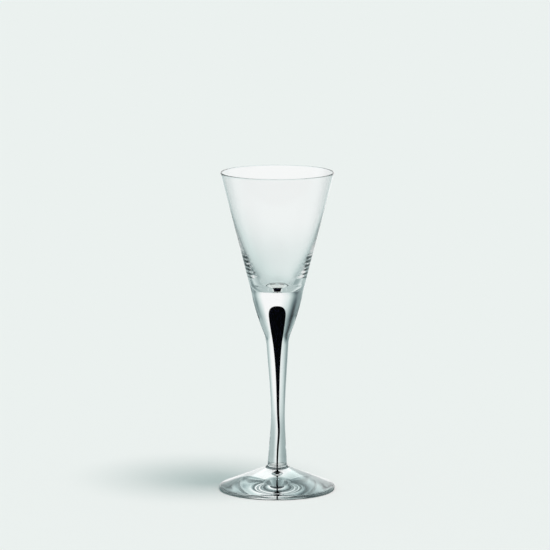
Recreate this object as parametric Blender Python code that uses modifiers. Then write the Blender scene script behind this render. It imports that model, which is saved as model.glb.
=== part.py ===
"""A stemmed schnapps glass of clear glass with a drop of black glass sealed in its stem.

Four pieces of glass, worked hot and fused to each other: a blown cone-shaped bowl, a drawn stem,
the black drop whose tail runs down the stem as a thread into the foot, and a foot spun out into
a low cone.
Metres, +Z up. The origin is the middle of the circle that the glass stands on.
"""

import math

import bpy

# Seams: the pieces are fused on the real glass, and stand this far apart here
SEAM_GAP = 0.0003

# Foot: a low cone with a rounded edge; the underside is a wide hollow within a flat standing ring,
# with the small dimple of the pontil rod in its middle
FOOT_RADIUS = 0.0307
FOOT_HEIGHT = 0.0122
FOOT_EDGE_HEIGHT = 0.0022
FOOT_EDGE_ROUND = 0.0010
SHOULDER_WIDTH = 0.0012
SHOULDER_HEIGHT = 0.0007
HOLLOW_RADIUS = 0.0275
HOLLOW_DEPTH = 0.0028
HOLLOW_POWER = 1.5
PONTIL_RADIUS = 0.0024
PONTIL_DEPTH = 0.0005

# Stem: a slope is the radius gained for each metre of height, a drop is a depth below the seat
STEM_LENGTH = 0.0915
ANKLE_RADIUS = 0.0058
ANKLE_SLOPE = -1.0
SHIN_RADIUS = 0.00515
SHIN_HEIGHT = 0.0012
SHIN_SLOPE = -0.055
WAIST_RADIUS = 0.00374
WAIST_HEIGHT = 0.0275
NECK_RADIUS = 0.00585
NECK_DROP = 0.0260
NECK_SLOPE = 0.065
BUD_TIP_RADIUS = 0.00745
BUD_TIP_DROP = 0.0190
BUD_TIP_SLOPE = 0.40
SEAT_RADIUS = 0.01335
SEAT_SLOPE = 0.20

# Bowl: a straight cone above a short curve to its seat; the wall thickens downwards into a heavy floor
BOWL_HEIGHT = 0.0661
CONE_FOOT_RADIUS = 0.01413
CONE_FOOT_HEIGHT = 0.0037
RIM_RADIUS = 0.0300
RIM_WALL = 0.0008
FLOOR_THICKNESS = 0.0035
FLOOR_WALL = 0.0062
FLOOR_ROUND_HEIGHT = 0.0030
FLOOR_SQUARENESS = 4.0
WALL_THINNING = 4.0

# Black drop: a round head, a tail that dies away into a thread, and a spread end above the pontil
DROP_COVER = 0.0036
END_COVER = 0.0009
DROP_RADIUS = 0.00295
DROP_HEAD_HEIGHT = 0.00465
HEAD_SQUARENESS = 2.5
TAPER_LENGTH = 0.0198
TAPER_POWER = 1.4
THREAD_TOP_RADIUS = 0.00042
THREAD_END_RADIUS = 0.00022
SPREAD_RADIUS = 0.0015
SPREAD_HEIGHT = 0.0026
BOW_WIDTH = 0.00037
BOW_HEIGHT = 0.0185
BOW_LENGTH = 0.0055

# Facets
TURN_STEPS = 56
WALL_STEPS = 8
ROUND_STEPS = 6
TAIL_STEPS = 26
HOLLOW_STEPS = 12
DROP_RESOLUTION = 6

# Heights of the seams, the rim and the two ends of the drop's tail
STEM_BASE_Z = FOOT_HEIGHT + SEAM_GAP
STEM_SEAT_Z = STEM_BASE_Z + STEM_LENGTH
BOWL_SEAT_Z = STEM_SEAT_Z + SEAM_GAP
CONE_FOOT_Z = BOWL_SEAT_Z + CONE_FOOT_HEIGHT
FLOOR_Z = BOWL_SEAT_Z + FLOOR_THICKNESS
RIM_Z = BOWL_SEAT_Z + BOWL_HEIGHT - RIM_WALL / 2
HEAD_Z = STEM_SEAT_Z - DROP_COVER - DROP_HEAD_HEIGHT
THREAD_END_Z = HOLLOW_DEPTH + PONTIL_DEPTH + END_COVER

# Slope of the bowl's straight cone
CONE_SLOPE = (RIM_RADIUS - CONE_FOOT_RADIUS) / (RIM_Z - CONE_FOOT_Z)


def steps_between(start, end, count):
    """Evenly spaced values from the start to the end, both included."""
    return [start + (end - start) * step / count for step in range(count + 1)]


def eased(high, low):
    """Outline points from a high station down to a low one; a station is radius, height and slope."""
    high_r, high_z, high_slope = high
    low_r, low_z, low_slope = low
    span = high_z - low_z
    points = []
    for u in steps_between(1, 0, WALL_STEPS):
        from_low = (1 - u) ** 2 * ((1 + 2 * u) * low_r + u * span * low_slope)
        from_high = u * u * ((3 - 2 * u) * high_r - (1 - u) * span * high_slope)
        points.append((from_low + from_high, low_z + u * span))
    return points


def rounded(centre, radius, start_deg, end_deg):
    """Points of an arc about a centre, by angle from outward towards up."""
    return [
        (centre[0] + radius * math.cos(math.radians(a)), centre[1] + radius * math.sin(math.radians(a)))
        for a in steps_between(start_deg, end_deg, ROUND_STEPS)
    ]


def joined(*runs):
    """The runs of an outline as one list, with each shared end kept once."""
    outline = []
    for run in runs:
        shared = bool(outline) and math.dist(outline[-1], run[0]) < 1e-9
        outline += run[1:] if shared else run
    return outline


def hollow_height(r):
    """Height of the foot's underside: the wide hollow, and the pontil's dimple in its middle."""
    dimple = max(0.0, 1 - (r / PONTIL_RADIUS) ** 2)
    return HOLLOW_DEPTH * (1 - (r / HOLLOW_RADIUS) ** HOLLOW_POWER) + PONTIL_DEPTH * dimple


def foot_outline():
    """Flat boss on the axis, shoulder, cone, rounded edge, standing ring and hollow, back to the axis."""
    edge_r = FOOT_RADIUS - FOOT_EDGE_ROUND
    shoulder = (ANKLE_RADIUS + SHOULDER_WIDTH, FOOT_HEIGHT - SHOULDER_HEIGHT)
    fall = (shoulder[1] - FOOT_EDGE_HEIGHT) / (edge_r - shoulder[0])
    radii = steps_between(HOLLOW_RADIUS, PONTIL_RADIUS, HOLLOW_STEPS)
    radii += steps_between(PONTIL_RADIUS, 0.0, ROUND_STEPS)[1:]
    return joined(
        [(0.0, FOOT_HEIGHT)],
        eased((ANKLE_RADIUS, FOOT_HEIGHT, ANKLE_SLOPE), (*shoulder, -1 / fall)),
        rounded(
            (edge_r, FOOT_EDGE_HEIGHT - FOOT_EDGE_ROUND),
            FOOT_EDGE_ROUND,
            90 - math.degrees(math.atan(fall)),
            0,
        ),
        rounded((edge_r, FOOT_EDGE_ROUND), FOOT_EDGE_ROUND, 0, -90),
        [(r, hollow_height(r)) for r in radii],
    )


def stem_outline():
    """Flat seat on the axis, bud, neck, waist, shin and flat ankle, back to the axis."""
    seat = (SEAT_RADIUS, STEM_SEAT_Z, SEAT_SLOPE)
    bud_tip = (BUD_TIP_RADIUS, STEM_SEAT_Z - BUD_TIP_DROP, BUD_TIP_SLOPE)
    neck = (NECK_RADIUS, STEM_SEAT_Z - NECK_DROP, NECK_SLOPE)
    waist = (WAIST_RADIUS, STEM_BASE_Z + WAIST_HEIGHT, 0.0)
    shin = (SHIN_RADIUS, STEM_BASE_Z + SHIN_HEIGHT, SHIN_SLOPE)
    ankle = (ANKLE_RADIUS, STEM_BASE_Z, ANKLE_SLOPE)
    return joined(
        [(0.0, STEM_SEAT_Z)],
        eased(seat, bud_tip),
        eased(bud_tip, neck),
        eased(neck, waist),
        eased(waist, shin),
        eased(shin, ankle),
        [(0.0, STEM_BASE_Z)],
    )


def cavity_radius(z):
    """Inside radius of the bowl: its straight cone less a wall that thins from the floor to the rim."""
    cone = CONE_FOOT_RADIUS + CONE_SLOPE * (z - CONE_FOOT_Z)
    thinning = ((RIM_Z - z) / (RIM_Z - FLOOR_Z)) ** WALL_THINNING
    return cone - RIM_WALL - (FLOOR_WALL - RIM_WALL) * thinning


def bowl_outline():
    """Rounded floor from the axis, inner wall, fire-polished rim, cone, short curve and flat seat."""
    floor = []
    for angle in steps_between(0, math.pi / 2, 2 * ROUND_STEPS):
        z = FLOOR_Z + FLOOR_ROUND_HEIGHT * (1 - math.cos(angle))
        floor.append((cavity_radius(z) * math.sin(angle) ** (2 / FLOOR_SQUARENESS), z))
    wall_z = steps_between(FLOOR_Z + FLOOR_ROUND_HEIGHT, RIM_Z, WALL_STEPS)
    return joined(
        floor,
        [(cavity_radius(z), z) for z in wall_z],
        rounded((RIM_RADIUS - RIM_WALL / 2, RIM_Z), RIM_WALL / 2, 180, 0),
        eased((CONE_FOOT_RADIUS, CONE_FOOT_Z, CONE_SLOPE), (SEAT_RADIUS, BOWL_SEAT_Z, SEAT_SLOPE)),
        [(0.0, BOWL_SEAT_Z)],
    )


def tail_radius(z):
    """Radius of the drop below its head: the head's taper, the thread, or the spread end."""
    along = (HEAD_Z - z) / (HEAD_Z - THREAD_END_Z)
    thread = THREAD_TOP_RADIUS + (THREAD_END_RADIUS - THREAD_TOP_RADIUS) * along ** 4
    taper = math.exp(-(((HEAD_Z - z) / TAPER_LENGTH) ** TAPER_POWER))
    spread = max(0.0, 1 - (z - THREAD_END_Z) / SPREAD_HEIGHT) ** 2
    return thread + (DROP_RADIUS - thread) * taper + (SPREAD_RADIUS - thread) * spread


def drop_stations(gap):
    """Height and radius of each ring down the drop, grown by a gap all round."""
    stations = []
    for angle in steps_between(0, math.pi / 2, ROUND_STEPS)[1:-1]:
        up = math.cos(angle) ** (2 / HEAD_SQUARENESS)
        out = math.sin(angle) ** (2 / HEAD_SQUARENESS)
        stations.append((HEAD_Z + (DROP_HEAD_HEIGHT + gap) * up, (DROP_RADIUS + gap) * out))
    spread_z = THREAD_END_Z + SPREAD_HEIGHT
    tail = steps_between(HEAD_Z, spread_z, TAIL_STEPS) + steps_between(spread_z, THREAD_END_Z, ROUND_STEPS)[1:]
    stations += [(z, tail_radius(z) + gap) for z in tail]
    if gap:
        stations.append((THREAD_END_Z - gap, SPREAD_RADIUS + gap))
    return stations


def glass(name, colour, roughness, transmission):
    """The material of one melt of glass."""
    material = bpy.data.materials.new(name)
    material.use_nodes = True
    shader = material.node_tree.nodes["Principled BSDF"]
    shader.inputs["Base Color"].default_value = (*colour, 1.0)
    shader.inputs["Roughness"].default_value = roughness
    shader.inputs["Metallic"].default_value = 0.0
    shader.inputs["IOR"].default_value = 1.52
    shader.inputs["Transmission Weight"].default_value = transmission
    return material


def turned(name, outline, material, collection):
    """A solid turned about Z from an outline that starts and ends on the axis and runs down its outside."""
    mesh = bpy.data.meshes.new(name)
    edges = [(k, k + 1) for k in range(len(outline) - 1)]
    mesh.from_pydata([(r, 0.0, z) for r, z in outline], edges, [])
    mesh.materials.append(material)
    piece = bpy.data.objects.new(name, mesh)
    collection.objects.link(piece)
    screw = piece.modifiers.new("turn", "SCREW")
    screw.axis = "Z"
    screw.steps = screw.render_steps = TURN_STEPS
    screw.use_merge_vertices = True
    screw.merge_threshold = 1e-6
    screw.use_smooth_shade = True
    return piece


def drop_tube(name, stations, collection):
    """A round tube down the drop's line with the stations' radii, closed at both ends."""
    data = bpy.data.curves.new(name, "CURVE")
    data.dimensions = "3D"
    data.bevel_depth = DROP_RADIUS
    data.bevel_resolution = DROP_RESOLUTION
    data.use_fill_caps = True
    spline = data.splines.new("POLY")
    spline.points.add(len(stations) - 1)
    for point, (z, radius) in zip(spline.points, stations):
        bow = BOW_WIDTH * math.exp(-0.5 * ((z - STEM_BASE_Z - BOW_HEIGHT) / BOW_LENGTH) ** 2)
        point.co = (bow, 0.0, z, 1.0)
        point.radius = radius / DROP_RADIUS
    tube = bpy.data.objects.new(name, data)
    collection.objects.link(tube)
    return tube


def drop_cavity(collection):
    """Cutter for the hollow that the drop fills, in the stem and on into the foot."""
    line = drop_tube("drop_cavity_line", drop_stations(SEAM_GAP), collection)
    solid = bpy.data.meshes.new_from_object(line.evaluated_get(bpy.context.evaluated_depsgraph_get()))
    cutter = bpy.data.objects.new("drop_cavity", solid)
    cutter.matrix_world = line.matrix_world
    cutter.hide_render = True
    cutter.display_type = "WIRE"
    collection.objects.link(cutter)
    bpy.data.objects.remove(line)
    caps = cutter.modifiers.new("weld caps", "WELD")
    caps.merge_threshold = 1e-6
    return cutter


def main():
    for old in list(bpy.data.objects):
        bpy.data.objects.remove(old)
    parts = bpy.data.collections.new("schnapps_glass")
    cutters = bpy.data.collections.new("cutters")
    for collection in (parts, cutters):
        bpy.context.scene.collection.children.link(collection)

    clear = glass("clear_glass", (0.94, 0.96, 0.95), 0.0, 1.0)
    black = glass("black_glass", (0.003, 0.003, 0.006), 0.05, 0.0)

    foot = turned("foot", foot_outline(), clear, parts)
    stem = turned("stem", stem_outline(), clear, parts)
    turned("bowl", bowl_outline(), clear, parts)
    drop = drop_tube("black_drop", drop_stations(0.0), parts)
    drop.data.materials.append(black)

    cutter = drop_cavity(cutters)
    for piece in (foot, stem):
        cavity = piece.modifiers.new("drop cavity", "BOOLEAN")
        cavity.operation = "DIFFERENCE"
        cavity.solver = "EXACT"
        cavity.object = cutter


main()
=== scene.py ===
"""The looks of a stemmed schnapps glass: clear fire-polished glass with a black drop in its stem."""

import math

import bpy
import numpy as np
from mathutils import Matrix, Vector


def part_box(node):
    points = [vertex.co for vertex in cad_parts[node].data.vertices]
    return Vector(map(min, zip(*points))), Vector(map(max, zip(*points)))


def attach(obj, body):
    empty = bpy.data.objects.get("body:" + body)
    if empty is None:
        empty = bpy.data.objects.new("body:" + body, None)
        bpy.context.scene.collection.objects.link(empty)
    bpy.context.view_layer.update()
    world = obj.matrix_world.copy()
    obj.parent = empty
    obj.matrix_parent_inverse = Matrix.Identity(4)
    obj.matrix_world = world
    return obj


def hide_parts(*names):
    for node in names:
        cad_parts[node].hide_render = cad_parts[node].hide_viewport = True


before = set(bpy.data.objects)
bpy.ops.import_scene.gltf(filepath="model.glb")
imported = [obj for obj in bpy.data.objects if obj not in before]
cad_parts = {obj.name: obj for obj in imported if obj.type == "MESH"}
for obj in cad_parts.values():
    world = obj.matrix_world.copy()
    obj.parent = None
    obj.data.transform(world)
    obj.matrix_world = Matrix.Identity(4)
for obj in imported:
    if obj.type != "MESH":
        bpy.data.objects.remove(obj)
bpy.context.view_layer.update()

# Bowl
# A cone of clear glass blown thin and cut to length, its rim melted round again in the flame.
# The wall thickens into a heavy floor with a low dome, a ring around it and a nub in the middle.
# Low on the wall the mould left faint ripples. Their creases and the ring on the floor carry painted shade,
# a dark tint that shows at a glancing angle.
bowl_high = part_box("bowl")[1]

# Sizes are in metres, and a slope is radius per height.
BOWL_SEAM_Z = 0.10415
SEAM_RADIUS = 0.01335
SEAM_SLOPE = 0.20
RIM_RADIUS = bowl_high.x
RIM_WALL = 0.00065
RIM_Z = bowl_high.z - RIM_WALL / 2
CONE_Z = 0.1080
CONE_RADIUS = 0.01413
CONE_SLOPE = (RIM_RADIUS - CONE_RADIUS) / (RIM_Z - CONE_Z)
FLOOR_Z = 0.1078
FLOOR_WALL = 0.0060
WALL_THINNING = 4
FLAT_RADIUS = 0.0065
CORNER_HEIGHT = 0.0043
DOME_HEIGHT = 0.0011
NUB_HEIGHT = 0.0007
NUB_RADIUS = 0.0008
RING_RADIUS = 0.0062
RING_HEIGHT = 0.00005
RING_WIDTH = 0.0004
INNER_RIPPLE = 0.00003
OUTER_RIPPLE = 0.00001
RIPPLE_LENGTH = 0.0022
RIPPLE_Z = 0.1215
RIPPLE_SPREAD = 0.0065
RIPPLE_TOP = 0.1345
RIPPLE_ROW = 0.00025
FLAT_ROWS = 80
CORNER_ROWS = 60
PLAIN_ROWS = 30
RIM_ROWS = 17
SEAT_ROWS = 24
TURN_STEPS = 216
SHARP_ANGLE = 35

CLEAR_GLASS_INDEX = 1.52
CLEAR_GLASS_TINT = (0.985, 0.995, 0.992)
STREAK_TINT = (0.978, 0.992, 0.988)
STREAK_SCALE = 45.0

# Painted shade darkens a crease or the floor ring while the share of light that its surface mirrors goes
# from one value to the other.
PAINTED_CREASE_SHADE = (0.004, 0.006, 0.007)
CREASE_FROM = 0.07
CREASE_TO = 0.10


def turned(name, runs, materials):
    """A closed surface turned about the axis, with the glass on the right of its outline's way.

    Each run is an outline of (radius, height, shift, swell) rows and the slot of its material, one
    for all its steps from row to row or one for each step. A row becomes a ring about an axis that
    is shifted sideways, and its radius swells to both sides with the fourth power of the cosine of
    the turn. The first and last rows, whose radius is nought, become single points.
    """
    rows = np.concatenate([runs[0][0]] + [run[1:] for run, _ in runs[1:]])
    slots = np.concatenate([np.broadcast_to(slot, len(run) - 1) for run, slot in runs])
    turn = np.linspace(0, 2 * np.pi, TURN_STEPS, endpoint=False)
    radius, height, shift, swell = (column[1:-1, None] for column in rows.T)
    swollen = radius + swell * np.cos(turn) ** 4
    rings = np.stack([
        shift + swollen * np.cos(turn),
        swollen * np.sin(turn),
        height + 0 * turn,
    ], axis=-1).reshape(-1, 3)
    poles = rows[[0, -1]][:, [2, 2, 1]] * (1, 0, 1)
    points = np.concatenate([rings, poles])

    here = np.arange(TURN_STEPS)
    there = np.roll(here, -1)
    ring = np.arange(len(rows) - 3)[:, None] * TURN_STEPS
    next_ring = ring + TURN_STEPS
    quads = np.stack([ring + here, next_ring + here, next_ring + there, ring + there], axis=-1)
    first_pole = len(rings)
    last_pole = len(rings) + 1
    last_ring = len(rings) - TURN_STEPS
    first_fan = np.stack([here * 0 + first_pole, here, there], axis=-1)
    last_fan = np.stack([last_ring + here, here * 0 + last_pole, last_ring + there], axis=-1)

    mesh = bpy.data.meshes.new(name)
    faces = first_fan.tolist() + quads.reshape(-1, 4).tolist() + last_fan.tolist()
    mesh.from_pydata(points.tolist(), [], faces)
    for material in materials:
        mesh.materials.append(material)
    mesh.polygons.foreach_set("material_index", np.repeat(slots, TURN_STEPS))
    mesh.shade_smooth()
    mesh.set_sharp_from_angle(angle=math.radians(SHARP_ANGLE))
    mesh.validate()
    piece = bpy.data.objects.new(name, mesh)
    bpy.context.scene.collection.objects.link(piece)
    return piece


def run_of(radius, height, shift=0.0, swell=0.0):
    """Rows of an outline from arrays or numbers of radius, height, sideways shift and swell."""
    columns = np.broadcast_arrays(*map(np.atleast_1d, (radius, height, shift, swell)))
    return np.stack(columns, axis=-1).astype(float)


def eased(high, low, count):
    """Rows of the cubic that meets the radius and slope of a high station and of a low one.

    A station is a radius, a height and a slope.
    """
    u = np.linspace(1, 0, count)
    span = high[1] - low[1]
    from_low = (1 - u) ** 2 * ((1 + 2 * u) * low[0] + u * span * low[2])
    from_high = u ** 2 * ((3 - 2 * u) * high[0] - (1 - u) * span * high[2])
    return run_of(from_low + from_high, low[1] + u * span)


def cavity_radius(z):
    """Cone radius less a wall that thins with a power of the way up."""
    cone = CONE_RADIUS + CONE_SLOPE * (z - CONE_Z)
    thinning = ((RIM_Z - z) / (RIM_Z - FLOOR_Z)) ** WALL_THINNING
    return cone - RIM_WALL - (FLOOR_WALL - RIM_WALL) * thinning


def wave(z):
    """A sine of the height, from -1 in a trough to 1 on a crest."""
    return np.sin(2 * np.pi * z / RIPPLE_LENGTH)


def ripple(z):
    """The wave, dying away as a bell curve above and below the middle height of the ripples."""
    return np.exp(-((z - RIPPLE_Z) / RIPPLE_SPREAD) ** 2) * wave(z)


def wire(tree, kind, inputs=None, **settings):
    """A new node with its settings, whose inputs take a value or another node's output."""
    made = tree.nodes.new(kind)
    for name, value in settings.items():
        setattr(made, name, value)
    for name, value in (inputs or {}).items():
        if isinstance(value, bpy.types.NodeSocket):
            tree.links.new(value, made.inputs[name])
        else:
            made.inputs[name].default_value = value
    return made


def ramp(tree, value, stops):
    """The colour for a value, between the colours of stops that run from 0 to 1."""
    made = wire(tree, "ShaderNodeValToRGB", {"Fac": value})
    elements = made.color_ramp.elements
    for place, _ in stops[1:-1]:
        elements.new(place)
    for element, (_, colour) in zip(elements, stops):
        element.color = (*colour, 1)
    return made.outputs["Color"]


def streaked(material, scale, tint, streak_tint):
    """Give a material's shader a base colour that drifts between two tints."""
    tree = material.node_tree
    place = wire(tree, "ShaderNodeTexCoord").outputs["Object"]
    drift = wire(tree, "ShaderNodeTexNoise", {"Vector": place, "Scale": scale}).outputs["Fac"]
    colour = ramp(tree, drift, ((0, tint), (1, streak_tint)))
    tree.links.new(colour, tree.nodes["Principled BSDF"].inputs["Base Color"])


def glass(name):
    """A new material of smooth clear glass, without its colour."""
    made = bpy.data.materials.new(name)
    made.use_nodes = True
    shader = made.node_tree.nodes["Principled BSDF"]
    shader.inputs["Roughness"].default_value = 0.0
    shader.inputs["IOR"].default_value = CLEAR_GLASS_INDEX
    shader.inputs["Transmission Weight"].default_value = 1.0
    return made


def glass_with_painted_shade(name, from_inside):
    """Clear glass with painted shade that darkens it at a glancing angle, from outside alone or from inside
    it too.
    """
    made = glass(name)
    tree = made.node_tree
    glance = wire(tree, "ShaderNodeFresnel", {"IOR": CLEAR_GLASS_INDEX}).outputs["Fac"]
    darkness = wire(tree, "ShaderNodeMapRange", {
        "Value": glance, "From Min": CREASE_FROM, "From Max": CREASE_TO,
    }).outputs["Result"]
    if not from_inside:
        inside = wire(tree, "ShaderNodeNewGeometry").outputs["Backfacing"]
        darkness = wire(tree, "ShaderNodeMath", {
            0: darkness, 1: inside,
        }, operation="SUBTRACT", use_clamp=True).outputs["Value"]
    colour = ramp(tree, darkness, ((0, CLEAR_GLASS_TINT), (1, PAINTED_CREASE_SHADE)))
    tree.links.new(colour, tree.nodes["Principled BSDF"].inputs["Base Color"])
    return made


clear_glass = glass("blown_clear_glass")
streaked(clear_glass, STREAK_SCALE, CLEAR_GLASS_TINT, STREAK_TINT)
# The ripple creases and the floor ring get painted shade at a glancing angle.
wall_crease_painted_shade = glass_with_painted_shade("wall_crease_painted_shade", from_inside=False)
floor_ring_painted_shade = glass_with_painted_shade("floor_ring_painted_shade", from_inside=True)

# Two pieces that are fused have no surface between them, so light goes straight through.
fused_seam = bpy.data.materials.new("fused_seam")
fused_seam.use_nodes = True
fused_seam.node_tree.nodes.clear()
no_surface = wire(fused_seam.node_tree, "ShaderNodeBsdfTransparent").outputs["BSDF"]
wire(fused_seam.node_tree, "ShaderNodeOutputMaterial", {"Surface": no_surface})
CLEAR, SEAM, CREASE_SHADED, RING_SHADED = range(4)

corner_a = np.linspace(0, np.pi / 2, CORNER_ROWS)
corner_z = FLOOR_Z + CORNER_HEIGHT * (1 - np.cos(corner_a))
corner_r = FLAT_RADIUS + (cavity_radius(corner_z) - FLAT_RADIUS) * np.sin(corner_a)
bottom_r = np.concatenate([np.linspace(0, FLAT_RADIUS, FLAT_ROWS)[:-1], corner_r])
bottom_z = np.concatenate([np.full(FLAT_ROWS - 1, FLOOR_Z), corner_z])
bottom_z += DOME_HEIGHT * np.maximum(0, 1 - (bottom_r / RING_RADIUS) ** 2)
bottom_z += NUB_HEIGHT * np.exp(-(bottom_r / NUB_RADIUS) ** 2)
bottom_z += RING_HEIGHT * np.exp(-((bottom_r - RING_RADIUS) / RING_WIDTH) ** 2)
# Faces of the floor ring, which take the painted shade.
ring_shaded = np.abs(bottom_r - RING_RADIUS) < RING_WIDTH

plain_z = np.linspace(RIPPLE_TOP, RIM_Z, PLAIN_ROWS)
wall_z = np.concatenate([np.arange(bottom_z[-1], RIPPLE_TOP, RIPPLE_ROW), plain_z])
cone_z = np.concatenate([np.arange(CONE_Z, RIPPLE_TOP, RIPPLE_ROW), plain_z])[::-1]
cone_r = CONE_RADIUS + CONE_SLOPE * (cone_z - CONE_Z)
# Faces of the ripple creases, which take the painted shade.
crease_shaded = (wave(cone_z) > 0) & (np.abs(cone_z - RIPPLE_Z) < RIPPLE_SPREAD)

rim_a = np.linspace(np.pi, 0, RIM_ROWS)
rim_r = RIM_RADIUS - RIM_WALL / 2 * (1 - np.cos(rim_a))
rim_z = RIM_Z + RIM_WALL / 2 * np.sin(rim_a)

bowl = turned("bowl_glass", [
    (run_of(bottom_r, bottom_z), np.where(ring_shaded[1:], RING_SHADED, CLEAR)),
    (run_of(cavity_radius(wall_z), wall_z, swell=INNER_RIPPLE * ripple(wall_z)), CLEAR),
    (run_of(rim_r, rim_z), CLEAR),
    (run_of(cone_r, cone_z, swell=OUTER_RIPPLE * ripple(cone_z)), np.where(crease_shaded[1:], CREASE_SHADED, CLEAR)),
    (eased((CONE_RADIUS, CONE_Z, CONE_SLOPE), (SEAM_RADIUS, BOWL_SEAM_Z, SEAM_SLOPE), SEAT_ROWS), CLEAR),
    (run_of([SEAM_RADIUS, 0], BOWL_SEAM_Z), SEAM),
], [clear_glass, fused_seam, wall_crease_painted_shade, floor_ring_painted_shade])
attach(bowl, "root")
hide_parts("bowl")

# Black drop
# A gob of black glass dropped into the clear gather while hot. Drawing the stem pulled its tail
# out into a thread, which leans and bows to one side and spreads where it was pressed on the foot.
stem_low, stem_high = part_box("stem")
foot_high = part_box("foot")[1]
FOOT_SEAM_Z = (foot_high.z + stem_low.z) / 2
DROP_TOP_Z = 0.1004
DROP_RADIUS = 0.00295
HEAD_HEIGHT = 0.00465
HEAD_Z = DROP_TOP_Z - HEAD_HEIGHT
HEAD_SQUARENESS = 2.5
TAPER_LENGTH = 0.0198
TAPER_POWER = 1.4
THREAD_TOP_RADIUS = 0.00042
THREAD_END_RADIUS = 0.00022
THREAD_END_Z = 0.0042
THREAD_FINING = 4
SPREAD_RADIUS = 0.0015
SPREAD_HEIGHT = 0.0026
BOW_WIDTH = 0.00037
BOW_Z = stem_low.z + 0.0185
BOW_LENGTH = 0.0055
LEAN_WIDTH = 0.0004
LEAN_LOWNESS = 0.65
HEAD_ROWS = 40
TAIL_ROWS = 160
END_ROWS = 60

BLACK_TINT = (0.0015, 0.0018, 0.0045)
VIOLET_TINT = (0.0040, 0.0032, 0.0100)
BLACK_STREAK_SCALE = 120.0
BLACK_ROUGHNESS = 0.3


def lean(z):
    """Sideways shift of the drawn glass: the square of a sine from seam to seam, fullest low down."""
    along = np.clip((z - FOOT_SEAM_Z) / (BOWL_SEAM_Z - FOOT_SEAM_Z), 0, 1)
    return LEAN_WIDTH * np.sin(np.pi * along ** LEAN_LOWNESS) ** 2


def drop_rows(clearance):
    """Outline of the drop from its head to its spread end, grown by a clearance.

    The head is a superellipse. Below it the radius is the thread's, plus the head's excess times a
    stretched exponential of the depth, plus a spread that grows with the square near the end.
    The sideways shift is the lean of the glass and a bow that is a bell curve of the height.
    """
    angle = np.linspace(0, np.pi / 2, HEAD_ROWS)
    head_z = HEAD_Z + (HEAD_HEIGHT + clearance) * np.cos(angle) ** (2 / HEAD_SQUARENESS)
    head_r = (DROP_RADIUS + clearance) * np.sin(angle) ** (2 / HEAD_SQUARENESS)
    tail_z = np.concatenate([
        np.linspace(HEAD_Z, FOOT_SEAM_Z, TAIL_ROWS)[1:],
        np.linspace(FOOT_SEAM_Z, THREAD_END_Z - clearance, END_ROWS)[1:],
    ])
    depth = HEAD_Z - tail_z
    fining = (depth / (HEAD_Z - THREAD_END_Z)) ** THREAD_FINING
    thread = THREAD_TOP_RADIUS + (THREAD_END_RADIUS - THREAD_TOP_RADIUS) * fining
    taper = np.exp(-((depth / TAPER_LENGTH) ** TAPER_POWER))
    spread = np.maximum(0, 1 - (tail_z - THREAD_END_Z) / SPREAD_HEIGHT) ** 2
    tail_r = thread + (DROP_RADIUS - thread) * taper + (SPREAD_RADIUS - thread) * spread + clearance
    height = np.concatenate([head_z, tail_z])
    shift = lean(height) + BOW_WIDTH * np.exp(-0.5 * ((height - BOW_Z) / BOW_LENGTH) ** 2)
    return run_of(np.concatenate([head_r, tail_r]), height, shift)


black_glass = bpy.data.materials.new("sealed_black_glass")
black_glass.use_nodes = True
black_shader = black_glass.node_tree.nodes["Principled BSDF"]
black_shader.inputs["Roughness"].default_value = BLACK_ROUGHNESS
black_shader.inputs["Specular IOR Level"].default_value = 0.0
streaked(black_glass, BLACK_STREAK_SCALE, BLACK_TINT, VIOLET_TINT)
BLACK = 0

drop_side = drop_rows(0.0)
drop = turned("black_drop_glass", [
    (drop_side, BLACK),
    (run_of([drop_side[-1, 0], 0], THREAD_END_Z, drop_side[-1, 2]), BLACK),
], [black_glass])
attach(drop, "root")
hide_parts("black_drop")

# Stem
# The clear gather around the drop, drawn out by its own weight: a bud under the bowl, a neck,
# a waist in the lower half and a base that widens to the foot. It leans with the drop.
ANKLE_RADIUS = 0.0058
ANKLE_SLOPE = -1.0
STEM_ROWS = 45
CAVITY_CLEARANCE = 0.00002
SAME_HEIGHT = 1e-9
STEM_STATIONS = {
    "seam": (SEAM_RADIUS, BOWL_SEAM_Z, SEAM_SLOPE),
    "bud tip": (0.00745, stem_high.z - 0.0190, 0.40),
    "neck": (0.00585, stem_high.z - 0.0260, 0.065),
    "waist": (0.00374, stem_low.z + 0.0275, 0.0),
    "base": (0.00515, FOOT_SEAM_Z + 0.0013, -0.055),
    "ankle": (ANKLE_RADIUS, FOOT_SEAM_Z, ANKLE_SLOPE),
}


def leaning(rows):
    """The rows of an outline, each shifted sideways by the lean at its height."""
    return run_of(rows[:, 0], rows[:, 1], lean(rows[:, 1]))


stations = list(STEM_STATIONS.values())
stem_sides = [leaning(eased(high, low, STEM_ROWS)) for high, low in zip(stations, stations[1:])]
cavity = drop_rows(CAVITY_CLEARANCE)
stem_cavity = cavity[cavity[:, 1] >= FOOT_SEAM_Z - SAME_HEIGHT][::-1]
stem = turned("stem_glass", [
    (run_of([0, SEAM_RADIUS], BOWL_SEAM_Z), SEAM),
    *((side, CLEAR) for side in stem_sides),
    (run_of([ANKLE_RADIUS, stem_cavity[0, 0]], FOOT_SEAM_Z), SEAM),
    (stem_cavity, SEAM),
], [clear_glass, fused_seam])
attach(stem, "root")
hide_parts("stem")

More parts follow.
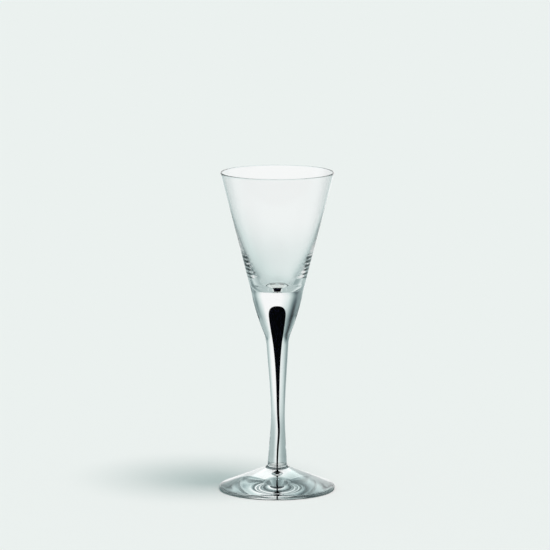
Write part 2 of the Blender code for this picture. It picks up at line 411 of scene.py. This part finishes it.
# Foot
# A second gather dropped on the end of the stem and spun out between paddles into a low cone.
# A wide hollow underneath lets it stand on a ring, and the pontil rod left a dimple in its middle.
FOOT_RADIUS = foot_high.x
FOOT_EDGE_HEIGHT = 0.0022
FOOT_EDGE_ROUND = 0.0010
FOOT_EDGE_SLOPE = -2.55
FOOT_SHOULDER = (0.0070, FOOT_SEAM_Z - 0.00085, -2.5)
HOLLOW_RADIUS = 0.0275
HOLLOW_DEPTH = 0.0028
HOLLOW_POWER = 1.5
PONTIL_RADIUS = 0.0024
PONTIL_DEPTH = 0.0005
ANKLE_ROWS = 20
CONE_ROWS = 60
EDGE_ROWS = 16
STANDING_ROWS = 8
HOLLOW_ROWS = 100
PONTIL_ROWS = 24

edge_r = FOOT_RADIUS - FOOT_EDGE_ROUND


def edge_arc(centre_z, start, end):
    """Rows of an arc of the foot's round edge, by the angle from outward towards up."""
    angle = np.linspace(start, end, EDGE_ROWS)
    return run_of(edge_r + FOOT_EDGE_ROUND * np.cos(angle), centre_z + FOOT_EDGE_ROUND * np.sin(angle))


edge_upper = edge_arc(FOOT_EDGE_HEIGHT - FOOT_EDGE_ROUND, math.atan2(-FOOT_EDGE_SLOPE, 1), 0)
edge_lower = edge_arc(FOOT_EDGE_ROUND, 0, -math.pi / 2)
edge_top = (edge_upper[0, 0], edge_upper[0, 1], FOOT_EDGE_SLOPE)
hollow_r = np.concatenate([
    np.linspace(HOLLOW_RADIUS, PONTIL_RADIUS, HOLLOW_ROWS),
    np.linspace(PONTIL_RADIUS, 0, PONTIL_ROWS)[1:],
])
hollow_z = HOLLOW_DEPTH * (1 - (hollow_r / HOLLOW_RADIUS) ** HOLLOW_POWER)
hollow_z += PONTIL_DEPTH * np.maximum(0, 1 - (hollow_r / PONTIL_RADIUS) ** 2)
foot_cavity = cavity[cavity[:, 1] <= FOOT_SEAM_Z + SAME_HEIGHT][::-1]
foot = turned("foot_glass", [
    (np.concatenate([run_of(0, foot_cavity[0, 1]), foot_cavity]), SEAM),
    (run_of([foot_cavity[-1, 0], ANKLE_RADIUS], FOOT_SEAM_Z), SEAM),
    (eased(STEM_STATIONS["ankle"], FOOT_SHOULDER, ANKLE_ROWS), CLEAR),
    (eased(FOOT_SHOULDER, edge_top, CONE_ROWS), CLEAR),
    (edge_upper, CLEAR),
    (np.concatenate([edge_upper[-1:], edge_lower]), CLEAR),
    (run_of(np.linspace(edge_r, HOLLOW_RADIUS, STANDING_ROWS), 0), CLEAR),
    (run_of(hollow_r, hollow_z), CLEAR),
], [clear_glass, fused_seam])
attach(foot, "root")
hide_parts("foot")

# Studio
# A pale table that runs out of the picture and a broad soft light from the right, towards the camera.
# Glass shows what stands around it: a white sheet behind, grey walls, and black flags at the sides.
PALE = (0.831, 0.880, 0.863)
AMBIENT = (0.26, 0.39, 0.385)
KEY_TILT = 16
KEY_TURN = -35
KEY_SPREAD = 28

# The table, with painted shade under the foot that only light with several turns in the glass can see: more
# than the straight depth. It glows for light whose slant is small, where 0 is straight down.
FLOOR_SIZE = 12.0
FLOOR_LEVEL = -0.0002
SHADE = (0.022, 0.032, 0.036)
SHADE_RADIUS = 0.035
SHADE_SOFTNESS = 0.005
BRIGHT_MIDDLE = 0.010
STRAIGHT_DEPTH = 2.5
GLOW_SLANT_FROM = 0.20
GLOW_SLANT_TO = 0.12

# The room, whose levels run from 0, black, to 1, white. Angles are in degrees. Mirror images alone
# show a glare overhead and a dim front, where a direction's part away from the camera falls below
# nought. Light fades with each turn in the glass after the first few.
WALL_LEVEL = 0.50
CEILING_LEVEL = 0.32
CEILING_FROM = 27
CEILING_TO = 60
OVERHEAD_GLARE = 4.5
OVERHEAD_FROM = 22
OVERHEAD_TO = 34
FRONT_GLARE = 0.05
FRONT_FROM = 0.2
FRONT_TO = -0.4
FADE = 0.972
FADE_AFTER = 8

# Each panel is painted over the ones before it: the bearing and height of its middle, from straight
# behind the glass, half its width and height, the softness of its edges, and its level. A level
# below nought gives a panel a wider black middle.
PANELS = {
    "table": ((0, -55), (180, 45), (1, 8), 0.60),
    "table around": ((180, -10), (105, 7), (12, 5), 0.86),
    "far table": ((-2, -1), (46, 9), (17, 6), 0.88),
    "near table": ((8, -32), (14, 13), (13, 18), 0.83),
    "white sheet": ((10, 6), (19, 25), (13, 20), 1.07),
    "left flag": ((-39, 16), (10, 14), (12, 11), -0.30),
    "left shade": ((-32, -33), (14, 13), (10, 12), 0.15),
    "right flag": ((116, 0), (24, 14), (20, 10), 0.12),
    "right screen": ((82, 20), (14, 7), (8, 6), 0.20),
    "left screen": ((-54, 6), (17, 27), (19, 20), 0.24),
    "right shade": ((38, -29), (24, 17), (8, 7), 0.50),
    "dark room": ((184, 36), (43, 9), (21, 2), 0.0),
    "right strip": ((51, 12), (7, 5), (6, 7), 0.19),
}

# Colour of a surrounding by its level: the darker, the more of the glass-green grey of a dim room.
ROOM_TINTS = (
    (0.00, (0.000, 0.002, 0.004)),
    (0.11, (0.077, 0.114, 0.126)),
    (0.40, (0.315, 0.400, 0.400)),
    (0.80, (0.710, 0.800, 0.790)),
    (1.00, (1.000, 1.000, 1.000)),
)


def maths(tree, operation, *values):
    """The output of a maths node on one, two or three values."""
    return wire(tree, "ShaderNodeMath", dict(enumerate(values)), operation=operation).outputs["Value"]


def smooth(tree, value, low, high, under=0.0, over=1.0):
    """A soft step from under, at the low value, to over, at the high one."""
    return wire(tree, "ShaderNodeMapRange", {
        "Value": value, "From Min": low, "From Max": high, "To Min": under, "To Max": over,
    }, interpolation_type="SMOOTHSTEP").outputs["Result"]


def either(tree, share, first, second):
    """A mix of two shaders: the first where the share is nought, the second where it is one."""
    return wire(tree, "ShaderNodeMixShader", {0: share, 1: first, 2: second}).outputs["Shader"]


def table_surface(tree):
    """The table's shader: lit and shadowed for the camera, and set for what the glass shows of it.

    In the glass the table is clear, so that the panels below the horizon show, but pale where light comes
    through steeply. Under the foot it carries a dark painted shade, but is pale where light comes nearly
    straight.
    """
    ray = wire(tree, "ShaderNodeLightPath").outputs
    place = wire(tree, "ShaderNodeTexCoord").outputs["Object"]
    away = wire(tree, "ShaderNodeVectorMath", {0: place}, operation="LENGTH").outputs["Value"]
    within = smooth(tree, away, SHADE_RADIUS + SHADE_SOFTNESS, SHADE_RADIUS - SHADE_SOFTNESS)
    beyond = smooth(tree, away, BRIGHT_MIDDLE - SHADE_SOFTNESS, BRIGHT_MIDDLE + SHADE_SOFTNESS)
    shaded = maths(tree, "MULTIPLY", within, beyond)
    straight = maths(tree, "LESS_THAN", ray["Ray Depth"], STRAIGHT_DEPTH)
    slant = wire(tree, "ShaderNodeLayerWeight").outputs["Facing"]
    steep = smooth(tree, slant, GLOW_SLANT_FROM, GLOW_SLANT_TO)
    through = ray["Is Transmission Ray"]

    lit = wire(tree, "ShaderNodeBsdfDiffuse", {"Color": (*PALE, 1)}).outputs["BSDF"]
    clear = wire(tree, "ShaderNodeBsdfTransparent").outputs["BSDF"]
    # Painted shade under the foot: a dark emission that the glass shows.
    dark = wire(tree, "ShaderNodeEmission", {"Color": (*SHADE, 1)}).outputs["Emission"]
    glow = wire(tree, "ShaderNodeEmission", {"Color": (*PALE, 1)}).outputs["Emission"]
    under_foot = either(tree, maths(tree, "MULTIPLY", straight, through), dark, glow)
    around = either(tree, maths(tree, "MULTIPLY", steep, through), clear, glow)
    in_glass = either(tree, shaded, around, under_foot)
    return either(tree, ray["Is Glossy Ray"], lit, in_glass)


def room_level(tree, bearing, height):
    """The level of the room in a direction: wall and ceiling, and then each panel over them."""
    level = smooth(tree, height, CEILING_FROM, CEILING_TO, WALL_LEVEL, CEILING_LEVEL)
    for middle, half_size, softness, panel_level in PANELS.values():
        shares = []
        for angle, centre, half, soft in zip((bearing, height), middle, half_size, softness):
            away = maths(tree, "PINGPONG", maths(tree, "SUBTRACT", angle, centre), 180)
            shares.append(smooth(tree, away, half + soft, half - soft))
        share = maths(tree, "MULTIPLY", *shares)
        level = wire(tree, "ShaderNodeMapRange", {
            "Value": share, "To Min": level, "To Max": panel_level,
        }).outputs["Result"]
    return level


def room_surface(tree):
    """The world's shader: pale for the camera, the room in the glass, and soft light for the rest."""
    ray = wire(tree, "ShaderNodeLightPath").outputs
    look = wire(tree, "ShaderNodeTexCoord").outputs["Generated"]
    way = wire(tree, "ShaderNodeSeparateXYZ", {0: look}).outputs
    bearing = maths(tree, "DEGREES", maths(tree, "ARCTAN2", way["X"], way["Y"]))
    height = maths(tree, "DEGREES", maths(tree, "ARCSINE", way["Z"]))
    colour = ramp(tree, room_level(tree, bearing, height), ROOM_TINTS)

    overhead = smooth(tree, height, OVERHEAD_FROM, OVERHEAD_TO, 1.0, OVERHEAD_GLARE)
    mirrored = smooth(tree, way["Y"], FRONT_FROM, FRONT_TO, overhead, FRONT_GLARE)
    strength = smooth(tree, ray["Is Transmission Ray"], 0, 1, mirrored, 1.0)
    turns = maths(tree, "MAXIMUM", maths(tree, "SUBTRACT", ray["Ray Depth"], FADE_AFTER), 0)
    faded = maths(tree, "MULTIPLY", strength, maths(tree, "POWER", FADE, turns))

    in_glass = wire(tree, "ShaderNodeBackground", {"Color": colour, "Strength": faded}).outputs["Background"]
    soft = wire(tree, "ShaderNodeBackground", {"Color": (*AMBIENT, 1)}).outputs["Background"]
    pale = wire(tree, "ShaderNodeBackground", {"Color": (*PALE, 1)}).outputs["Background"]
    beside_camera = either(tree, ray["Is Glossy Ray"], soft, in_glass)
    return either(tree, ray["Is Camera Ray"], beside_camera, pale)


half_floor = FLOOR_SIZE / 2
floor_corners = [(x, y, FLOOR_LEVEL) for y in (-half_floor, half_floor) for x in (-half_floor, half_floor)]
floor_mesh = bpy.data.meshes.new("floor")
floor_mesh.from_pydata(floor_corners, [], [(0, 1, 3, 2)])
floor_material = bpy.data.materials.new("pale_floor")
floor_material.use_nodes = True
floor_material.node_tree.nodes.clear()
wire(floor_material.node_tree, "ShaderNodeOutputMaterial", {
    "Surface": table_surface(floor_material.node_tree),
})
floor_mesh.materials.append(floor_material)
floor = bpy.data.objects.new("floor", floor_mesh)
bpy.context.scene.collection.objects.link(floor)

world = bpy.data.worlds.new("studio")
world.use_nodes = True
world.node_tree.nodes.clear()
wire(world.node_tree, "ShaderNodeOutputWorld", {"Surface": room_surface(world.node_tree)})
bpy.context.scene.world = world

key_data = bpy.data.lights.new("key", "SUN")
key_data.energy = math.pi / math.cos(math.radians(KEY_TILT))
key_data.color = [1 - part for part in AMBIENT]
key_data.angle = math.radians(KEY_SPREAD)
key = bpy.data.objects.new("key", key_data)
key.rotation_euler = (0, math.radians(KEY_TILT), math.radians(KEY_TURN))
key.visible_glossy = False
key.visible_transmission = False
bpy.context.scene.collection.objects.link(key)

# Camera
# A long lens about 2.2 m in front of the glass, above its rim and dipped a little below level.
# Light may turn many times in the glass before it gets out, and cross many fused seams.
CAMERA_LENS = 271.4
CAMERA_PLACE = (-0.00117, -2.1727, 0.4538)
CAMERA_DIP = 8.854
CAMERA_REACH = 50.0
GLASS_TURNS = 96
SEAM_CROSSINGS = 48

camera_data = bpy.data.cameras.new("camera")
camera_data.lens = CAMERA_LENS
camera_data.clip_end = CAMERA_REACH
camera = bpy.data.objects.new("camera", camera_data)
camera.location = CAMERA_PLACE
camera.rotation_euler = (math.radians(90 - CAMERA_DIP), 0, 0)
bpy.context.scene.collection.objects.link(camera)
bpy.context.scene.camera = camera

scene = bpy.context.scene
scene.view_settings.view_transform = "Standard"
scene.cycles.max_bounces = GLASS_TURNS
scene.cycles.transmission_bounces = GLASS_TURNS
scene.cycles.glossy_bounces = GLASS_TURNS
scene.cycles.transparent_max_bounces = SEAM_CROSSINGS
